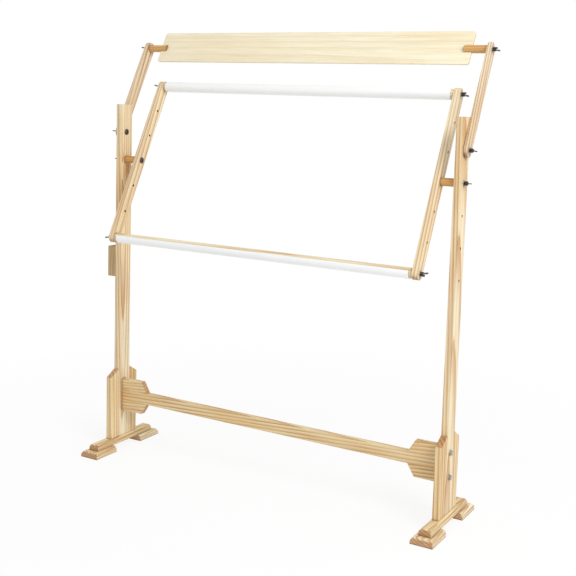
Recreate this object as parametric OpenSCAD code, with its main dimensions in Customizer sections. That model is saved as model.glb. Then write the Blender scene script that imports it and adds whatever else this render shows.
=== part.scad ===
// Embroidery floor stand: two posts on moulded feet, a tilting frame with two
// rollers and fabric clips between the posts, and two arms outside the posts
// that carry a pattern board. Millimetres, +Z up, front is -Y, the origin is on
// the floor midway between the feet. The leans are those of the rest pose.

/* [Posts] */
// Clear width between the two posts
clear_w = 900; // [600:10:1100]
// Thickness of the posts
post_t = 15; // [12:1:24]
// Width of the posts, front to back
post_w = 42; // [36:1:60]
// Height of the tops of the posts above the floor
post_top = 900; // [880:10:1100]
// Pitch of the holes in the posts and in the side bars
hole_pitch = 70; // [60:1:76]
// Number of holes in each post, the two pivots included
post_holes = 5; // [3:1:6]
// Distance of the top hole below the top of the post
top_hole_drop = 70; // [30:1:90]

/* [Leg base] */
// Width of each cheek, front to back
cheek_w = 30; // [20:1:40]
// Height of a cheek above the bearer, where it meets the post
cheek_h = 182; // [170:1:220]
// Fall of the sloped shoulder of a cheek
shoulder_fall = 18; // [5:1:30]

/* [Feet] */
// Length of the whole foot, front to back
foot_l = 252; // [240:1:400]
// Length of a pad
pad_l = 77; // [60:1:90]
// Width of a pad
pad_w = 52; // [40:1:70]
// Height of a pad
pad_h = 15; // [14:1:24]
// Radius of the rounded top edge of a pad
pad_round = 7; // [2:0.5:7]
// Length of a bearer
bearer_l = 216; // [200:1:236]
// Width of a bearer
bearer_w = 28; // [25:1:38]
// Height of a bearer
bearer_h = 15; // [14:1:24]
// Radius of the rounded top edge of a bearer
bearer_round = 5; // [2:0.5:5]
// Width of the small ledge beside a rounded edge
ledge = 1.5; // [0.5:0.1:1.5]

/* [Stretcher] */
// Thickness of the stretcher and of its gussets
stretcher_t = 15; // [12:1:24]
// Height of the stretcher bar
stretcher_h = 28; // [20:1:36]
// Height of the middle of the stretcher above the floor
stretcher_z = 141; // [120:1:160]
// Height of a gusset
gusset_h = 28; // [20:1:32]
// Length of a gusset along the stretcher
gusset_l = 82; // [70:1:120]
// Length of the outer edge of a gusset
gusset_edge_l = 65; // [62:1:68]

/* [Side bars] */
// Thickness of a side bar
bar_t = 14; // [10:1:20]
// Width of a side bar
bar_w = 27; // [24:1:36]
// Gap between a post and its side bar, filled by a spacer
bar_gap = 36; // [30:1:50]
// Diameter of a spacer
spacer_d = 18; // [16:1:24]
// Number of hole pitches from the pivot to each roller
roller_pitches = 3; // [2:1:3]
// Lean of the frame from upright, towards the back
frame_lean = 26.6; // [0:0.1:60]

/* [Rollers] */
// Diameter of a roller
roller_d = 22; // [18:1:26]
// Wall of a fabric clip
clip_t = 2; // [1.5:0.1:3]
// Angle of the open side of a clip
clip_open = 130; // [100:1:140]
// Bare length of roller beyond each end of its clip
clip_inset = 8; // [4:1:40]

/* [Arms] */
// Thickness of an arm
arm_t = 8; // [6:0.5:12]
// Width of an arm
arm_w = 31; // [24:1:36]
// Length of an arm from its pivot to the board dowel
arm_l = 245; // [240:1:300]
// Lean of the arms from upright, towards the back
arm_lean = 27.5; // [0:0.1:60]

/* [Pattern board] */
// Length of the board that shows between the ends of its dowels
board_show_l = 819; // [400:1:840]
// Length of board end held in each dowel's slot
board_seat = 17.5; // [10:0.5:25]
// Height of the board
board_h = 84; // [60:1:90]
// Thickness of the board
board_t = 4; // [3:0.5:6]
// Rise of the board's middle above the dowels, along the board
board_rise = 3; // [0:0.5:3]
// Radius of the board's corners
board_corner = 6; // [1:0.5:15]
// Diameter of a board dowel
dowel_d = 18; // [16:1:22]

/* [Side block] */
// Depth of the block, out from the post
block_x = 24; // [15:1:35]
// Height of the block
block_h = 78; // [50:1:110]
// Height of the underside of the block above the floor
block_z = 456; // [300:1:500]

/* [Hardware] */
// Diameter of the bolts and studs
bolt_d = 6; // [5:0.5:7]
// Radial clearance of a bolt or screw in its hole
bolt_fit = 0.05; // [0.03:0.01:0.1]
// Gap between flat faces that turn against each other
slip = 0.2; // [0.1:0.05:0.3]
// Diameter of a bolt head
head_d = 15; // [12:0.5:18]
// Height of a bolt head
head_h = 3.5; // [3:0.5:5]
// Width across the corners of the socket in a bolt head
socket_d = 4.6; // [3:0.1:5]
// Diameter of a washer
washer_d = 13; // [12:0.5:18]
// Thickness of a washer
washer_t = 1.5; // [1:0.1:2.5]
// Diameter of the hub of a wing nut
hub_d = 9.5; // [9:0.5:12]
// Height of the hub of a wing nut
hub_h = 6.5; // [5:0.5:8]
// Span of the wings
wing_span = 24; // [22:1:30]
// Height of a wing nut over its wings
wing_h = 13; // [12:0.5:16]
// Thickness of a wing
wing_t = 2; // [1.5:0.1:3.5]
// Radius of the tip of a wing
wing_tip = 3; // [2:0.1:3.5]
// Length of bolt beyond the hub of its wing nut
bolt_tail = 1.5; // [0:0.5:5]
// Depth of a stud in the end of a roller or dowel
stud_depth = 28; // [20:1:30]
// Length of a stretcher screw under its head
stretcher_screw_l = 62; // [40:1:75]
// Width across the corners of a hex head
hex_d = 11.5; // [10:0.5:12.5]
// Height of a hex head
hex_h = 4; // [3:0.5:5]
// Diameter of the screws that hold the posts to the bearers
leg_screw_d = 5; // [4:0.5:6]
// Length of the screws that hold the posts to the bearers
leg_screw_l = 60; // [40:1:70]
// Distance of those screws from the middle of the foot
leg_screw_y = 12; // [8:1:12]
// Diameter of the screws that hold the pads
pad_screw_d = 4; // [3:0.5:5]
// Length of the screws that hold the pads
pad_screw_l = 22; // [18:1:24]
// Distance between the two screws of a pad
pad_screw_pitch = 30; // [10:1:34]
// Shift of those screws from the middle of the pad, towards the post
pad_screw_shift = 6; // [4:1:8]
// Depth of the sunk screw heads below the wood
sink = 0.8; // [0.5:0.1:1.5]

/* [Hidden] */
$fn = 96;

// Heights
leg_z = pad_h + bearer_h;
arm_pivot_z = post_top - top_hole_drop;
frame_pivot_z = arm_pivot_z - hole_pitch;
gusset_zs = [for (s = [-1, 1]) stretcher_z + s * (stretcher_h + gusset_h) / 2];

// Distances from the middle of the stand
post_in = clear_w / 2;
post_out = post_in + post_t;
leg_x = post_in + post_t / 2;
bar_out = post_in - bar_gap;
bar_in = bar_out - bar_t;
arm_in = post_out + slip;
arm_out = arm_in + arm_t;
dowel_in = board_show_l / 2;
board_end = dowel_in + board_seat;

// Axes of the rollers and of the board dowels
roller_reach = roller_pitches * hole_pitch;
upper_axis = [0, roller_reach * sin(frame_lean), frame_pivot_z + roller_reach * cos(frame_lean)];
lower_axis = [0, -roller_reach * sin(frame_lean), frame_pivot_z - roller_reach * cos(frame_lean)];
board_axis = [0, arm_l * sin(arm_lean), arm_pivot_z + arm_l * cos(arm_lean)];

// Directions of the open sides of the clips, from the back (0) through the top (90)
upper_open = -20;
lower_open = 85;

// Screw places, from the middle of the foot
pad_screw_ys = [for (s = [-1, 1]) foot_l / 2 - pad_l / 2 + s * pad_screw_pitch / 2 - pad_screw_shift];
// Length of the point of a wood screw
point_l = 5;
// Extra length of a cutter beyond the face that it cuts
over = 1;
// How deep a wing is rooted in its hub, and how far it starts above the hub's flat side
wing_root = 1.5;
wing_lift = 0.6;
// Turns of the wing nuts about their bolts, as left by hand
arm_nut_turn = 80;
board_nut_turn = 75;
frame_nut_turn = 85;
upper_nut_turn = 70;
lower_nut_turn = 100;

// Basic shapes

// A flat outline in the Y-Z plane, made t thick from x outwards
module slab(x, t) {
    translate([x, 0, 0]) rotate([90, 0, 90]) linear_extrude(t) children();
}

// A round bar along X, from x outwards
module x_rod(x, l, d) {
    translate([x, 0, 0]) rotate([0, 90, 0]) cylinder(d = d, h = l);
}

// The cutter for a hole of length l along X for a rod of diameter d
module x_hole(x, l, d) {
    x_rod(x - over, l + 2 * over, d + 2 * bolt_fit);
}

// A strip with round ends, from a to b along its length
module strap(a, b, w) {
    translate([-w / 2, a]) square([w, b - a]);
    for (end = [a, b]) translate([0, end]) circle(d = w);
}

module on_left() {
    mirror([1, 0, 0]) children();
}

module on_back() {
    mirror([0, 1, 0]) children();
}

module on_both_sides() {
    children();
    on_left() children();
}

// Local +Z runs up the frame from its pivot
module on_frame() {
    translate([0, 0, frame_pivot_z]) rotate([-frame_lean, 0, 0]) children();
}

// Local +Z runs up the arms from their pivot
module on_arms() {
    translate([0, 0, arm_pivot_z]) rotate([-arm_lean, 0, 0]) children();
}

// Section of a moulded board: square sides, a ledge and a rounded top edge
module moulded_section(w, h, r) {
    translate([-w / 2, 0]) square([w, h - r]);
    translate([-w / 2 + ledge + r, 0]) square([w - 2 * (ledge + r), h]);
    for (s = [-1, 1]) translate([s * (w / 2 - ledge - r), h - r]) circle(r);
}

// A board with the moulding round all four top edges
module moulded_block(w, l, h, r) {
    intersection() {
        rotate([90, 0, 0]) translate([0, 0, -l / 2]) linear_extrude(l) moulded_section(w, h, r);
        slab(-w / 2, w) moulded_section(l, h, r);
    }
}

// Hardware

// A countersunk wood screw, pointing up from the underside of its head
module wood_screw(d, l) {
    cylinder(d1 = 2 * d, d2 = d, h = d / 2);
    translate([0, 0, d / 2]) cylinder(d = d, h = l - d / 2 - point_l);
    translate([0, 0, l - point_l]) cylinder(d1 = d, d2 = d / 4, h = point_l);
}

// The cutter for a countersunk screw, open below
module screw_hole(d, l) {
    translate([0, 0, -sink - over]) cylinder(d = 2 * d + 2 * bolt_fit, h = sink + over);
    cylinder(d1 = 2 * d + 2 * bolt_fit, d2 = d + 2 * bolt_fit, h = d / 2);
    cylinder(d = d + 2 * bolt_fit, h = l);
}

// A round bolt head with a hex socket, its flat side at x, domed towards the middle
module bolt_head(x) {
    rim = head_h / 3;
    crown = head_h - rim;
    dome_r = (head_d * head_d / 4 + crown * crown) / (2 * crown);
    translate([x, 0, 0]) rotate([0, -90, 0]) difference() {
        union() {
            cylinder(d = head_d, h = rim);
            translate([0, 0, rim]) rotate_extrude() intersection() {
                translate([0, crown - dome_r]) circle(dome_r);
                square([head_d / 2, crown]);
            }
        }
        translate([0, 0, rim]) cylinder(d = socket_d, h = head_h, $fn = 6);
    }
}

module washer(x) {
    color("gainsboro") translate([x, 0, 0]) rotate([0, 90, 0]) difference() {
        cylinder(d = washer_d, h = washer_t);
        translate([0, 0, -over]) cylinder(d = bolt_d + 2 * bolt_fit, h = washer_t + 2 * over);
    }
}

// One wing, standing out from the hub towards local +X
module wing() {
    root = hub_d / 2 - wing_root;
    tip_x = wing_span / 2 - wing_tip;
    tip_z = wing_h - wing_tip;
    rotate([90, 0, 0]) translate([0, 0, -wing_t / 2]) linear_extrude(wing_t) {
        polygon([
            [root, wing_lift],
            [hub_d / 2, wing_lift],
            [tip_x + wing_tip, tip_z],
            [tip_x - wing_tip, tip_z],
            [root, hub_h]
        ]);
        translate([tip_x, tip_z]) circle(wing_tip);
    }
}

// A wing nut with its flat side at x and its wings towards +X
module wing_nut(x, turn) {
    color("dimgray") translate([x, 0, 0]) rotate([turn, 0, 0]) rotate([0, 90, 0]) difference() {
        union() {
            cylinder(d = hub_d, h = hub_h);
            for (s = [0, 180]) rotate([0, 0, s]) wing();
        }
        translate([0, 0, -over]) cylinder(d = bolt_d + 2 * bolt_fit, h = wing_h + 2 * over);
    }
}

// How far a bolt reaches past the face that its washer sits on
bolt_reach = washer_t + slip + hub_h + bolt_tail;

// The standing frame

module right_post() {
    color("burlywood") difference() {
        translate([post_in, -post_w / 2, leg_z]) cube([post_t, post_w, post_top - leg_z]);
        for (n = [0 : post_holes - 1]) translate([0, 0, arm_pivot_z - n * hole_pitch])
            x_hole(post_in, post_t, bolt_d);
        for (z = gusset_zs) translate([0, 0, z]) x_hole(post_in, post_t, bolt_d);
        leg_screw_cuts();
    }
}

module left_post() {
    on_left() right_post();
}

module right_back_cheek() {
    color("burlywood") slab(post_in, post_t) polygon([
        [post_w / 2, leg_z],
        [post_w / 2 + cheek_w, leg_z],
        [post_w / 2 + cheek_w, leg_z + cheek_h - shoulder_fall],
        [post_w / 2, leg_z + cheek_h]
    ]);
}

module right_front_cheek() {
    on_back() right_back_cheek();
}

module left_back_cheek() {
    on_left() right_back_cheek();
}

module left_front_cheek() {
    on_left() right_front_cheek();
}

module right_bearer() {
    color("burlywood") difference() {
        translate([leg_x, 0, pad_h]) moulded_block(bearer_w, bearer_l, bearer_h, bearer_round);
        leg_screw_cuts();
        pad_screw_cuts();
        on_back() pad_screw_cuts();
    }
}

module left_bearer() {
    on_left() right_bearer();
}

module right_back_pad() {
    color("burlywood") difference() {
        translate([leg_x, foot_l / 2 - pad_l, 0]) intersection() {
            moulded_block(pad_w, 2 * pad_l, pad_h, pad_round);
            translate([-pad_w / 2, 0, 0]) cube([pad_w, pad_l, pad_h]);
        }
        pad_screw_cuts();
    }
}

module right_front_pad() {
    on_back() right_back_pad();
}

module left_back_pad() {
    on_left() right_back_pad();
}

module left_front_pad() {
    on_left() right_front_pad();
}

module stretcher() {
    color("burlywood") translate([-post_in, -stretcher_t / 2, stretcher_z - stretcher_h / 2])
        cube([clear_w, stretcher_t, stretcher_h]);
}

module right_upper_gusset() {
    low = stretcher_z + stretcher_h / 2;
    color("burlywood") difference() {
        rotate([90, 0, 0]) translate([0, 0, -stretcher_t / 2]) linear_extrude(stretcher_t) polygon([
            [post_in, low],
            [post_in, low + gusset_h],
            [post_in - gusset_edge_l, low + gusset_h],
            [post_in - gusset_l, low]
        ]);
        translate([0, 0, gusset_zs[1]])
            x_hole(post_out + washer_t - stretcher_screw_l, stretcher_screw_l, bolt_d);
    }
}

module right_lower_gusset() {
    translate([0, 0, 2 * stretcher_z]) mirror([0, 0, 1]) right_upper_gusset();
}

module left_upper_gusset() {
    on_left() right_upper_gusset();
}

module left_lower_gusset() {
    on_left() right_lower_gusset();
}

module stretcher_screws() {
    tip = post_out + washer_t - stretcher_screw_l;
    color("silver") on_both_sides() for (z = gusset_zs) translate([0, 0, z]) {
        translate([post_out + washer_t, 0, 0]) rotate([0, 90, 0]) cylinder(d = hex_d, h = hex_h, $fn = 6);
        x_rod(tip + point_l, stretcher_screw_l - point_l, bolt_d);
        translate([tip, 0, 0]) rotate([0, 90, 0]) cylinder(d1 = bolt_d / 4, d2 = bolt_d, h = point_l);
    }
}

module stretcher_washers() {
    on_both_sides() for (z = gusset_zs) translate([0, 0, z]) washer(post_out);
}

// Places and holes of the sunk screws in the right leg, and of its back pad
module at_leg_screws() {
    for (y = [-leg_screw_y, leg_screw_y]) translate([leg_x, y, pad_h + sink]) children();
}

module at_pad_screws() {
    for (y = pad_screw_ys) translate([leg_x, y, sink]) children();
}

module leg_screw_cuts() {
    at_leg_screws() screw_hole(leg_screw_d, leg_screw_l + slip);
}

module pad_screw_cuts() {
    at_pad_screws() screw_hole(pad_screw_d, pad_screw_l + slip);
}

module leg_screws() {
    color("silver") on_both_sides() at_leg_screws() wood_screw(leg_screw_d, leg_screw_l);
}

module pad_screws() {
    color("silver") on_both_sides() {
        at_pad_screws() wood_screw(pad_screw_d, pad_screw_l);
        on_back() at_pad_screws() wood_screw(pad_screw_d, pad_screw_l);
    }
}

module side_block() {
    color("sienna") on_left() translate([post_out, -post_w / 2, block_z])
        cube([block_x, post_w, block_h]);
}

module arm_pivot_bolts() {
    color("dimgray") on_both_sides() translate([0, 0, arm_pivot_z]) {
        bolt_head(post_in);
        x_rod(post_in, arm_out + bolt_reach - post_in, bolt_d);
    }
}

module frame_pivot_washers() {
    on_both_sides() translate([0, 0, frame_pivot_z]) washer(post_out);
}

// The arms and the pattern board

module right_arm() {
    color("tan") on_arms() difference() {
        slab(arm_in, arm_t) strap(0, arm_l, arm_w);
        for (z = [0, arm_l]) translate([0, 0, z]) x_hole(arm_in, arm_t, bolt_d);
    }
}

module left_arm() {
    on_left() right_arm();
}

module arm_pivot_washers() {
    on_both_sides() translate([0, 0, arm_pivot_z]) washer(arm_out);
}

module board_washers() {
    on_both_sides() translate(board_axis) washer(arm_out);
}

module pattern_board() {
    low = -board_h / 2 + board_rise;
    inset = board_corner;
    color("wheat") on_arms() translate([0, board_t / 2, arm_l]) rotate([90, 0, 0])
        linear_extrude(board_t) {
            translate([-board_end, low + inset]) square([2 * board_end, board_h - 2 * inset]);
            translate([-board_end + inset, low]) square([2 * (board_end - inset), board_h]);
            for (x = [-1, 1], z = [low + inset, low + board_h - inset])
                translate([x * (board_end - inset), z]) circle(inset);
        }
}

module right_board_dowel() {
    slot_t = board_t + 2 * bolt_fit;
    color("burlywood") on_arms() translate([0, 0, arm_l]) difference() {
        x_rod(dowel_in, arm_in - slip - dowel_in, dowel_d);
        translate([dowel_in - over, -slot_t / 2, -dowel_d])
            cube([board_seat + slip + over, slot_t, 2 * dowel_d]);
        x_hole(arm_in - slip - stud_depth, stud_depth, bolt_d);
    }
}

module left_board_dowel() {
    on_left() right_board_dowel();
}

module board_studs() {
    color("silver") on_both_sides() translate(board_axis)
        x_rod(arm_in - slip - stud_depth, arm_out + bolt_reach - arm_in + slip + stud_depth, bolt_d);
}

// The tilting frame

module right_side_bar() {
    color("burlywood") on_frame() difference() {
        slab(bar_in, bar_t) strap(-roller_reach, roller_reach, bar_w);
        for (n = [-roller_pitches : roller_pitches]) translate([0, 0, n * hole_pitch])
            x_hole(bar_in, bar_t, bolt_d);
    }
}

module left_side_bar() {
    on_left() right_side_bar();
}

module right_spacer() {
    color("burlywood") translate([0, 0, frame_pivot_z]) difference() {
        x_rod(bar_out, bar_gap - slip, spacer_d);
        x_hole(bar_out, bar_gap, bolt_d);
    }
}

module left_spacer() {
    on_left() right_spacer();
}

module frame_pivot_bolts() {
    color("dimgray") on_both_sides() translate([0, 0, frame_pivot_z]) {
        bolt_head(bar_in);
        x_rod(bar_in, post_out + bolt_reach - bar_in, bolt_d);
    }
}

module roller_washers() {
    on_both_sides() for (axis = [upper_axis, lower_axis]) translate(axis) washer(bar_out);
}

module roller() {
    end = bar_in - slip;
    color("burlywood") difference() {
        x_rod(-end, 2 * end, roller_d);
        on_both_sides() x_hole(end - stud_depth, stud_depth, bolt_d);
    }
}

// A half-pipe clip, open towards the direction open in the Y-Z plane
module clip(open) {
    end = bar_in - slip - clip_inset;
    bore = roller_d / 2 + bolt_fit;
    reach = 4 * bore;
    color("white") slab(-end, 2 * end) difference() {
        circle(bore + clip_t);
        circle(bore);
        polygon([
            [0, 0],
            for (a = [-1, 0, 1]) reach * [cos(open + a * clip_open / 2), sin(open + a * clip_open / 2)]
        ]);
    }
}

module roller_studs() {
    start = bar_in - slip - stud_depth;
    color("silver") on_both_sides() x_rod(start, bar_out + bolt_reach - start, bolt_d);
}

module upper_roller() {
    translate(upper_axis) roller();
}

module upper_clip() {
    translate(upper_axis) clip(upper_open);
}

module upper_roller_studs() {
    translate(upper_axis) roller_studs();
}

module lower_roller() {
    translate(lower_axis) roller();
}

module lower_clip() {
    translate(lower_axis) clip(lower_open);
}

module lower_roller_studs() {
    translate(lower_axis) roller_studs();
}

// The wing nuts

module right_arm_wing_nut() {
    translate([0, 0, arm_pivot_z]) wing_nut(arm_out + washer_t + slip, arm_nut_turn);
}

module left_arm_wing_nut() {
    on_left() right_arm_wing_nut();
}

module right_board_wing_nut() {
    translate(board_axis) wing_nut(arm_out + washer_t + slip, board_nut_turn);
}

module left_board_wing_nut() {
    on_left() right_board_wing_nut();
}

module right_frame_wing_nut() {
    translate([0, 0, frame_pivot_z]) wing_nut(post_out + washer_t + slip, frame_nut_turn);
}

module left_frame_wing_nut() {
    on_left() right_frame_wing_nut();
}

module right_upper_wing_nut() {
    translate(upper_axis) wing_nut(bar_out + washer_t + slip, upper_nut_turn);
}

module left_upper_wing_nut() {
    on_left() right_upper_wing_nut();
}

module right_lower_wing_nut() {
    translate(lower_axis) wing_nut(bar_out + washer_t + slip, lower_nut_turn);
}

module left_lower_wing_nut() {
    on_left() right_lower_wing_nut();
}

left_post();
right_post();
left_front_cheek();
left_back_cheek();
right_front_cheek();
right_back_cheek();
left_bearer();
right_bearer();
left_front_pad();
left_back_pad();
right_front_pad();
right_back_pad();
stretcher();
left_upper_gusset();
left_lower_gusset();
right_upper_gusset();
right_lower_gusset();
stretcher_screws();
stretcher_washers();
leg_screws();
pad_screws();
side_block();
arm_pivot_bolts();
frame_pivot_washers();
left_arm();
right_arm();
arm_pivot_washers();
board_washers();
pattern_board();
left_board_dowel();
right_board_dowel();
board_studs();
left_side_bar();
right_side_bar();
left_spacer();
right_spacer();
frame_pivot_bolts();
roller_washers();
upper_roller();
upper_clip();
upper_roller_studs();
lower_roller();
lower_clip();
lower_roller_studs();
left_arm_wing_nut();
right_arm_wing_nut();
left_board_wing_nut();
right_board_wing_nut();
left_frame_wing_nut();
right_frame_wing_nut();
left_upper_wing_nut();
right_upper_wing_nut();
left_lower_wing_nut();
right_lower_wing_nut();
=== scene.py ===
import math
from collections import namedtuple

import bpy
from mathutils import Euler, Matrix, Vector


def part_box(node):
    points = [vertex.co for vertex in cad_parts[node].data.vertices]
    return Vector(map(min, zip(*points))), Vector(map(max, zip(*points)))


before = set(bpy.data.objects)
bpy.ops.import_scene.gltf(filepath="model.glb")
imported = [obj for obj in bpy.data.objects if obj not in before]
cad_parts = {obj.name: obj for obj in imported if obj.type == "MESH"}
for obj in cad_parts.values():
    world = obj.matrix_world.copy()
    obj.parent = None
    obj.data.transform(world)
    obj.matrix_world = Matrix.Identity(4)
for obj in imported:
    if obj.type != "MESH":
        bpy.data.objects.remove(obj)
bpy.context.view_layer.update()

# The leans of the side bars and of the arms at rest
FRAME_LEAN = math.radians(26.6)
ARM_LEAN = math.radians(27.5)

# Turns that bring a piece's grain to the local X axis, by the way that the grain runs
ALONG_X = (0.0, 0.0, 0.0)
ALONG_Y = (0.0, 0.0, math.radians(-90))
ALONG_Z = (0.0, math.radians(90), 0.0)
ALONG_FRAME = (FRAME_LEAN, math.radians(90), 0.0)
ALONG_ARM = (ARM_LEAN, math.radians(90), 0.0)

# A noise: how fine it is, how far each axis is drawn in (None for the same all ways), detail, roughness
Noise = namedtuple("Noise", "scale stretch detail roughness")

# Three tones of a wood: the early wood, the dark line of each ring, and the heart
Tones = namedtuple("Tones", "pale late warm")

# A knot in a piece: where its middle lies, and its radius
Knot = namedtuple("Knot", "centre radius")


def srgb(red, green, blue):
    """A colour given as display values from 0 to 255, as the linear colour that a shader takes."""
    def linear(value):
        share = value / 255
        return share / 12.92 if share <= 0.04045 else ((share + 0.055) / 1.055) ** 2.4
    return linear(red), linear(green), linear(blue), 1.0


# Colours

WHITE = (1.0, 1.0, 1.0, 1.0)
CREAM = Tones(srgb(243, 231, 199), srgb(188, 130, 62), srgb(232, 199, 142))
HONEY = Tones(srgb(238, 219, 174), srgb(180, 118, 50), srgb(222, 180, 112))
TAN = Tones(srgb(238, 220, 188), srgb(160, 112, 64), srgb(224, 190, 142))
GOLD = Tones(srgb(224, 182, 118), srgb(176, 112, 50), srgb(206, 152, 84))
BOARD = Tones(srgb(247, 238, 210), srgb(228, 204, 160), srgb(243, 228, 192))
# The side block's tones are darker than the other wood's: painted shade for the shadow on its face
SHADED_BLOCK = Tones(srgb(212, 182, 134), srgb(132, 98, 58), srgb(186, 150, 102))
KNOT_BROWN = srgb(140, 88, 42)
CLIP_WHITE = srgb(246, 248, 247)
CLIP_SHADE = srgb(226, 228, 226)
FLOOR_DARKEST = (0.93, 0.93, 0.93, 1.0)
FLOOR_LIGHTEST = (0.96, 0.96, 0.96, 1.0)

# Sockets of a mix of two colours, which have no names of their own
MIX_SHARE = 0
MIX_FIRST = 6
MIX_SECOND = 7
MIX_RESULT = 2

# A wave texture at a scale of 1 repeats at this distance
WAVE_PERIOD = math.pi / 10

# The span that most of a noise's values lie in
NOISE_SPAN = (0.3, 0.7)


class Graph:
    """The nodes of a material or of the world, with short ways to add and join them."""

    def __init__(self, owner):
        owner.use_nodes = True
        self.owner = owner
        self.nodes = owner.node_tree.nodes
        self.links = owner.node_tree.links

    def put(self, socket, value):
        """Joins another node's output to the socket, or sets its value."""
        if isinstance(value, bpy.types.NodeSocket):
            self.links.new(value, socket)
        else:
            socket.default_value = value

    def add(self, kind, settings=None, **inputs):
        """A new node. Its inputs are named with _ for a space."""
        node = self.nodes.new("ShaderNode" + kind)
        for name, value in (settings or {}).items():
            setattr(node, name, value)
        for name, value in inputs.items():
            self.put(node.inputs[name.replace("_", " ")], value)
        return node

    def calculate(self, operation, first, second, clamp=False):
        node = self.add("Math", {"operation": operation, "use_clamp": clamp})
        self.put(node.inputs[0], first)
        self.put(node.inputs[1], second)
        return node.outputs[0]

    def vector(self, operation, first, second=(0.0, 0.0, 0.0)):
        node = self.add("VectorMath", {"operation": operation})
        self.put(node.inputs[0], first)
        self.put(node.inputs[1], second)
        return node

    def spread(self, value, span, to_span):
        """The value, with its span from low to high moved to another one."""
        node = self.add("MapRange", Value=value)
        for name, limits in (("From", span), ("To", to_span)):
            self.put(node.inputs[name + " Min"], limits[0])
            self.put(node.inputs[name + " Max"], limits[1])
        return node.outputs["Result"]

    def mix(self, share, first, second, blend="MIX"):
        node = self.add("Mix", {"data_type": "RGBA", "blend_type": blend})
        self.put(node.inputs[MIX_SHARE], share)
        self.put(node.inputs[MIX_FIRST], first)
        self.put(node.inputs[MIX_SECOND], second)
        return node.outputs[MIX_RESULT]

    def darkened(self, colour, grey):
        """The colour multiplied by a grey value."""
        shade = self.add("CombineColor", Red=grey, Green=grey, Blue=grey).outputs["Color"]
        return self.mix(1.0, colour, shade, "MULTIPLY")

    def moved(self, where, **change):
        """The place after a change of location, rotation or scale."""
        return self.add("Mapping", Vector=where, **change).outputs["Vector"]

    def noise(self, where, kind):
        if kind.stretch:
            where = self.moved(where, Scale=kind.stretch)
        node = self.add("TexNoise", Vector=where, Scale=kind.scale, Detail=kind.detail,
                        Roughness=kind.roughness)
        return node.outputs["Fac"]

    def ramp(self, value, stops):
        """Greys at stops from 0 to 1, where a new ramp already has its first and last stop."""
        node = self.add("ValToRGB", Fac=value)
        elements = node.color_ramp.elements
        for position, _ in stops[1:-1]:
            elements.new(position)
        for element, (_, grey) in zip(elements, stops):
            element.color = (grey, grey, grey, 1.0)
        return node.outputs["Color"]

    def seen_directly(self):
        """1 for what the camera, a reflection or glass shows, 0 for light that falls on something."""
        path = self.add("LightPath").outputs
        either = self.calculate("MAXIMUM", path["Is Camera Ray"], path["Is Glossy Ray"])
        return self.calculate("MAXIMUM", either, path["Is Transmission Ray"])


class Surface(Graph):
    """One material, with the place and the normal of each point of the piece that it covers."""

    def __init__(self, name):
        super().__init__(bpy.data.materials.new(name))
        self.shader = self.nodes["Principled BSDF"]
        coordinates = self.add("TexCoord")
        self.place = coordinates.outputs["Object"]
        self.normal = coordinates.outputs["Normal"]

    def feed(self, name, value):
        """Gives a value to one of the shader's inputs."""
        self.put(self.shader.inputs[name], value)

    def rounded(self, radius):
        """Normals as if the edges were rounded off, and how near an edge the place is, from 0 to 1."""
        normal = self.add("Bevel", {"samples": 4}, Radius=radius).outputs["Normal"]
        true = self.add("NewGeometry").outputs["Normal"]
        agreement = self.vector("DOT_PRODUCT", normal, true).outputs["Value"]
        turn = self.calculate("SUBTRACT", 1.0, agreement)
        return normal, self.calculate("MULTIPLY", turn, 5.0, clamp=True)

    def openness(self, reach):
        """1 in the open, and less in holes, corners and joints that are about as wide as the reach."""
        return self.add("AmbientOcclusion", {"samples": 8}, Distance=reach).outputs["AO"]

    def bump(self, height, strength, depth, normal):
        node = self.add("Bump", Strength=strength, Distance=depth, Height=height, Normal=normal)
        self.feed("Normal", node.outputs["Normal"])


# Wood

RING_STRETCH = (0.07, 1.0, 1.0)
FIBRE = Noise(620.0, (0.02, 1.0, 1.0), 3.0, 0.6)
STREAK = Noise(95.0, (0.03, 1.0, 1.0), 3.0, 0.55)
BLOTCH = Noise(22.0, (0.25, 1.0, 1.0), 3.0, 0.55)
HEART = Noise(9.0, (0.3, 1.0, 1.0), 2.0, 0.5)
KNOT_MOTTLE = Noise(260.0, None, 2.0, 0.5)

# Through one year ring: how far, and how dark it is there
RING_STOPS = ((0.0, 0.45), (0.08, 0.0), (0.45, 0.1), (0.75, 0.6), (1.0, 1.0))

# How strongly each feature shows
PATCHY_RINGS = (0.45, 1.0)
HEART_MOST = 0.6
STREAK_MOST = 0.45
FIBRE_LIGHT = (0.88, 1.06)
END_GRAIN_MOST = 0.62
WORN_EDGE_MOST = 0.3
# How dark the painted shade in holes, corners and joints gets
CREVICE_PAINTED_SHADE = (0.3, 1.0)
KNOT_MOST = 0.7
KNOT_BROWN_MOST = 0.6
RING_HEIGHT = 0.6

# How far along the tree a piece is cut from the one with the seed before it, so that no two match
SEED_STEP = 0.37

WOOD_EDGE = 0.0012
CREVICE_WIDTH = 0.008
WOOD_GLOSS = 0.35
SMOOTHER = 0.07
ROUGHER = 0.09


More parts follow.
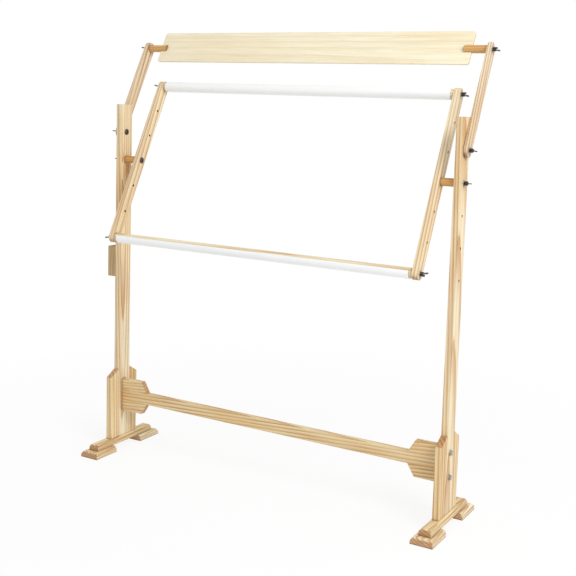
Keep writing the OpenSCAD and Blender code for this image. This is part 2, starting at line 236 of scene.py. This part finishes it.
def wood(node, along, tones, seed, ring, pith, drift, depth=1.0, rough=0.5, knot=None):
    """Covers a CAD node with sawn wood.

    ring is the width of a year ring, and pith how far the heart of the tree lies from the piece, across
    its face and into it. drift is the angle in degrees between grain and piece, and depth the strength
    of the grain.
    """
    surface = Surface("wood_" + node)
    low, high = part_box(node)
    turn = Euler(along).to_matrix()
    shift = Vector((SEED_STEP * seed, *pith)) - turn @ ((low + high) / 2)
    local = surface.moved(surface.place, Rotation=along, Location=shift)
    knotted = knot_share(surface, local, turn, shift, knot) if knot else None

    rings = ring_lines(surface, local, ring, drift, knot, knotted)
    patchy = surface.spread(surface.noise(local, BLOTCH), (0.32, 0.68), PATCHY_RINGS)
    patchy_rings = surface.calculate("MULTIPLY", rings, patchy)
    grain = surface.calculate("MULTIPLY", patchy_rings, depth, clamp=True)
    fibre = surface.noise(local, FIBRE)
    heart = surface.spread(surface.noise(local, HEART), (0.42, 0.7), (0.0, HEART_MOST))
    streak = surface.spread(surface.noise(local, STREAK), (0.45, 0.75), (0.0, STREAK_MOST * depth))

    colour = surface.mix(heart, tones.pale, tones.warm)
    colour = surface.mix(grain, colour, tones.late)
    colour = surface.mix(streak, colour, tones.late)
    colour = surface.darkened(colour, surface.spread(fibre, NOISE_SPAN, FIBRE_LIGHT))
    end_grain = surface.mix(1.0, colour, tones.late, "MULTIPLY")
    colour = surface.mix(end_share(surface, turn), colour, end_grain)
    normal, edge = surface.rounded(WOOD_EDGE)
    colour = surface.mix(surface.calculate("MULTIPLY", edge, WORN_EDGE_MOST), colour, tones.warm)
    # Painted shade: the colour is darkened in holes, corners and joints, where shade falls
    light = surface.spread(surface.openness(CREVICE_WIDTH), (0.25, 0.85), CREVICE_PAINTED_SHADE)
    colour = surface.darkened(colour, light)
    if knot:
        colour = knot_colour(surface, local, knotted, colour, tones.late)

    surface.feed("Base Color", colour)
    surface.feed("Roughness", surface.spread(fibre, NOISE_SPAN, (rough - SMOOTHER, rough + ROUGHER)))
    surface.feed("Specular IOR Level", WOOD_GLOSS)
    height = surface.calculate("ADD", surface.calculate("MULTIPLY", grain, RING_HEIGHT), fibre)
    surface.bump(height, 0.35, 0.0003, normal)
    give(node, surface.owner)


def ring_lines(surface, local, ring, drift, knot, knotted):
    """The dark line of each year ring, bent round the knot if there is one."""
    slant = (0.0, math.radians(drift), math.radians(drift / 3))
    place = surface.moved(surface.moved(local, Rotation=slant), Scale=RING_STRETCH)
    if knot:
        bulge = surface.calculate("MULTIPLY", knotted, 1.6 * knot.radius)
        bend = surface.add("CombineXYZ", Z=bulge).outputs["Vector"]
        place = surface.vector("ADD", place, bend).outputs["Vector"]
    settings = {"wave_type": "RINGS", "rings_direction": "X", "wave_profile": "SAW"}
    wave = surface.add("TexWave", settings, Vector=place, Scale=WAVE_PERIOD / ring, Distortion=4.0,
                       Detail=3.0, Detail_Scale=0.35, Detail_Roughness=0.55)
    return surface.ramp(wave.outputs["Fac"], RING_STOPS)


def end_share(surface, turn):
    """1 on a face across the grain and 0 on a face along it."""
    grain_way = turn.transposed() @ Vector((1.0, 0.0, 0.0))
    facing = surface.vector("DOT_PRODUCT", surface.normal, grain_way).outputs["Value"]
    across = surface.calculate("ABSOLUTE", facing, 0.0)
    return surface.spread(across, (0.55, 0.9), (0.0, END_GRAIN_MOST))


def knot_share(surface, local, turn, shift, knot):
    """1 in the middle of a knot and 0 past twice its radius, drawn out along the grain."""
    centre = turn @ Vector(knot.centre) + shift
    away = surface.vector("SUBTRACT", local, centre).outputs["Vector"]
    away = surface.vector("MULTIPLY", away, (0.45, 1.0, 0.3)).outputs["Vector"]
    distance = surface.vector("LENGTH", away).outputs["Value"]
    return surface.spread(distance, (0.0, 2 * knot.radius), (1.0, 0.0))


def knot_colour(surface, local, knotted, colour, late):
    """The colour with the mottled brown core of a knot over it."""
    core = surface.spread(knotted, (0.3, 0.85), (0.0, KNOT_MOST))
    brown = surface.spread(surface.noise(local, KNOT_MOTTLE), (0.4, 0.6), (0.0, KNOT_BROWN_MOST))
    return surface.mix(core, colour, surface.mix(brown, late, KNOT_BROWN))


# Plastic and metal

CLIP_LINES = Noise(900.0, (0.01, 1.0, 1.0), 2.0, 0.5)
CLIP_DIRT = Noise(60.0, (0.1, 1.0, 1.0), 4.0, 0.6)
CLIP_EDGE = 0.0006
METAL_MOTTLE = Noise(420.0, None, 4.0, 0.65)
METAL_SCRATCHES = Noise(1600.0, (1.0, 0.12, 1.0), 2.0, 0.5)
METAL_EDGE = 0.0005
RUBBED_EDGE_MOST = 0.6
THREAD_HEIGHT = 4.0
M6_PITCH = 0.001


def plastic(name, colour, shade):
    """Extruded white plastic: faint lines along its length, a soft gloss and a little handling dirt."""
    surface = Surface(name)
    lines = surface.noise(surface.place, CLIP_LINES)
    dirt = surface.spread(surface.noise(surface.place, CLIP_DIRT), (0.5, 0.8), (0.0, 0.3))
    normal, edge = surface.rounded(CLIP_EDGE)
    tint = surface.mix(dirt, colour, shade)
    tint = surface.mix(surface.calculate("MULTIPLY", edge, 0.35), tint, shade)
    surface.feed("Base Color", tint)
    surface.feed("Roughness", surface.spread(dirt, (0.0, 0.5), (0.3, 0.46)))
    surface.feed("Specular IOR Level", 0.5)
    surface.bump(lines, 0.2, 0.0001, normal)
    return surface.owner


def metal(name, colour, worn, rough, pitch=None):
    """Plated steel, worn to another tone on its edges. A pitch cuts threads along X."""
    surface = Surface(name)
    mottle = surface.noise(surface.place, METAL_MOTTLE)
    normal, edge = surface.rounded(METAL_EDGE)
    rubbed = surface.calculate("MULTIPLY", edge, RUBBED_EDGE_MOST)
    tint = surface.mix(surface.spread(mottle, (0.4, 0.7), (0.0, 0.45)), colour, worn)
    tint = surface.mix(rubbed, tint, worn)
    surface.feed("Base Color", tint)
    surface.feed("Roughness", surface.spread(mottle, NOISE_SPAN, (rough - 0.08, rough + 0.12)))
    surface.feed("Metallic", 1.0)
    if pitch:
        settings = {"wave_type": "BANDS", "bands_direction": "X", "wave_profile": "TRI"}
        thread = surface.add("TexWave", settings, Vector=surface.place, Scale=WAVE_PERIOD / pitch,
                             Distortion=0.0)
        relief = surface.calculate("MULTIPLY", thread.outputs["Fac"], THREAD_HEIGHT)
    else:
        relief = surface.noise(surface.place, METAL_SCRATCHES)
    surface.bump(surface.calculate("ADD", relief, mottle), 0.35, 0.00015, normal)
    return surface.owner


def give(node, material):
    """Puts one material on every face of a CAD node."""
    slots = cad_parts[node].data.materials
    slots.clear()
    slots.append(material)


# The pieces. Each has a seed of its own, and like pieces count up from their first one's

LEFT_POST_KNOT = Knot((-0.450, 0.006, 0.735), 0.013)


def dress_stand():
    wood("left_post", ALONG_Z, CREAM, seed=1, ring=0.0075, pith=(0.006, 0.030), drift=1.6,
         knot=LEFT_POST_KNOT)
    wood("right_post", ALONG_Z, CREAM, seed=4, ring=0.0075, pith=(-0.003, -0.036), drift=1.6)
    for seed, corner in enumerate(("left_front", "left_back", "right_front", "right_back"), 7):
        wood(corner + "_cheek", ALONG_Z, HONEY, seed=seed, ring=0.0085,
             pith=(0.003 * seed - 0.025, 0.05), drift=1.2)
        wood(corner + "_pad", ALONG_Y, CREAM, seed=seed + 6, ring=0.0055, pith=(0.015, 0.03), drift=2.5)
    for seed, side in enumerate(("left", "right"), 21):
        wood(side + "_bearer", ALONG_Y, HONEY, seed=seed, ring=0.006, pith=(0.01, 0.035), drift=2.0)
    wood("stretcher", ALONG_X, HONEY, seed=24, ring=0.008, pith=(0.014, 0.012), drift=2.6)
    for seed, end in enumerate(("left_upper", "left_lower", "right_upper", "right_lower"), 25):
        wood(end + "_gusset", ALONG_X, HONEY, seed=seed, ring=0.008, pith=(0.016, 0.014), drift=5.0)
    # The side block's darker tones are painted shade
    wood("side_block", ALONG_Z, SHADED_BLOCK, seed=30, ring=0.005, pith=(0.01, 0.03), drift=2.5)


def dress_frame_and_arms():
    for seed, side in enumerate(("left", "right"), 32):
        wood(side + "_side_bar", ALONG_FRAME, CREAM, seed=seed, ring=0.0065, pith=(0.007, 0.028),
             drift=1.1)
    for seed, side in enumerate(("left", "right"), 35):
        wood(side + "_arm", ALONG_ARM, TAN, seed=seed, ring=0.005, pith=(0.012, 0.02), drift=1.6)
    round_pieces = ("left_spacer", "right_spacer", "left_board_dowel", "right_board_dowel")
    for seed, node in enumerate(round_pieces, 38):
        wood(node, ALONG_X, GOLD, seed=seed, ring=0.0045, pith=(0.012, 0.012), drift=1.5)
    for seed, node in enumerate(("upper_roller", "lower_roller"), 43):
        wood(node, ALONG_X, CREAM, seed=seed, ring=0.0045, pith=(0.012, 0.015), drift=0.5)
    wood("pattern_board", ALONG_X, BOARD, seed=46, ring=0.012, pith=(0.01, 0.16), drift=0.5,
         depth=0.5, rough=0.55)


def dress_hardware():
    clip = plastic("white_clip", CLIP_WHITE, CLIP_SHADE)
    zinc = metal("zinc", srgb(176, 176, 172), srgb(214, 214, 210), 0.34)
    threaded = metal("zinc_thread", srgb(168, 168, 164), srgb(208, 208, 204), 0.36, M6_PITCH)
    dark = metal("dark_steel", srgb(62, 58, 54), srgb(138, 132, 122), 0.38)
    bolts = metal("dark_bolt", srgb(70, 64, 58), srgb(150, 142, 130), 0.34, M6_PITCH)
    for node in ("upper_clip", "lower_clip"):
        give(node, clip)
    for node in ("stretcher_screws", "stretcher_washers", "leg_screws", "pad_screws", "frame_pivot_washers",
                 "arm_pivot_washers", "board_washers", "roller_washers"):
        give(node, zinc)
    for node in ("board_studs", "upper_roller_studs", "lower_roller_studs"):
        give(node, threaded)
    for node in ("arm_pivot_bolts", "frame_pivot_bolts"):
        give(node, bolts)
    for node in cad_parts:
        if node.endswith("wing_nut"):
            give(node, dark)


# Studio

FLOOR_SIZE = 40.0
FLOOR_MOTTLE = Noise(3.0, None, 3.0, 0.5)
WHITER_FROM_TO = (0.5, 1.5)
WHITER_SHARE = (0.85, 1.0)
WORLD_LIGHT = 0.68
KEY_PLACE = (2.5, -1.3, 2.7)
KEY_AIM = (0.0, 0.0, 0.6)
KEY_SIZE = 1.6
KEY_POWER = 64.0

# The photograph's camera, from a fit to points of the stand
SENSOR_WIDTH = 36.0
LENS = 62.26
SHIFT_X = -0.0195
SHIFT_Y = -0.1181
VIEW_DEPTH = 100.0
EYE_PLACE = (1.2065, -2.0004, 0.9217)
EYE_FORWARD = (-0.49158, 0.86276, -0.11828)
EYE_RIGHT = (0.86659, 0.49804, 0.03117)


def floor_material():
    """A pale floor: white to the camera and in reflections, with part of the shadow kept."""
    surface = Surface("floor")
    mottle = surface.spread(surface.noise(surface.place, FLOOR_MOTTLE), NOISE_SPAN, (0.0, 1.0))
    surface.feed("Base Color", surface.mix(mottle, FLOOR_DARKEST, FLOOR_LIGHTEST))
    surface.feed("Roughness", 0.9)
    surface.feed("Specular IOR Level", 0.1)
    white = surface.add("Emission", Color=WHITE, Strength=1.0)
    away = surface.vector("LENGTH", surface.place).outputs["Value"]
    whiter = surface.spread(away, WHITER_FROM_TO, WHITER_SHARE)
    share = surface.calculate("MULTIPLY", surface.seen_directly(), whiter)
    mixed = surface.add("MixShader", Fac=share)
    surface.put(mixed.inputs[1], surface.shader.outputs[0])
    surface.put(mixed.inputs[2], white.outputs[0])
    surface.put(surface.nodes["Material Output"].inputs["Surface"], mixed.outputs[0])
    return surface.owner


def make_floor():
    bpy.ops.mesh.primitive_plane_add(size=FLOOR_SIZE)
    floor = bpy.context.object
    floor.name = "floor"
    floor.data.materials.append(floor_material())


def make_world():
    """White where it is seen, and weaker as a light."""
    world = bpy.data.worlds.new("studio")
    bpy.context.scene.world = world
    graph = Graph(world)
    background = graph.nodes["Background"]
    strength = graph.spread(graph.seen_directly(), (0.0, 1.0), (WORLD_LIGHT, 1.0))
    graph.put(background.inputs["Color"], WHITE)
    graph.put(background.inputs["Strength"], strength)


def make_lamp(name, place, aim, size, power):
    light = bpy.data.lights.new(name, "AREA")
    light.size = size
    light.energy = power
    lamp = bpy.data.objects.new(name, light)
    bpy.context.scene.collection.objects.link(lamp)
    lamp.location = place
    lamp.rotation_euler = (Vector(aim) - Vector(place)).to_track_quat("-Z", "Y").to_euler()


def make_camera():
    camera = bpy.data.cameras.new("camera")
    camera.sensor_width = SENSOR_WIDTH
    camera.lens = LENS
    camera.shift_x = SHIFT_X
    camera.shift_y = SHIFT_Y
    camera.clip_end = VIEW_DEPTH
    eye = bpy.data.objects.new("camera", camera)
    bpy.context.scene.collection.objects.link(eye)
    forward = Vector(EYE_FORWARD).normalized()
    right = Vector(EYE_RIGHT)
    right = (right - forward * right.dot(forward)).normalized()
    up = right.cross(forward)
    eye.rotation_mode = "QUATERNION"
    eye.rotation_quaternion = Matrix((right, up, -forward)).transposed().to_quaternion()
    eye.location = EYE_PLACE
    bpy.context.scene.camera = eye


dress_stand()
dress_frame_and_arms()
dress_hardware()
make_floor()
make_world()
make_lamp("key", KEY_PLACE, KEY_AIM, KEY_SIZE, KEY_POWER)
make_camera()
bpy.context.scene.view_settings.view_transform = "Standard"
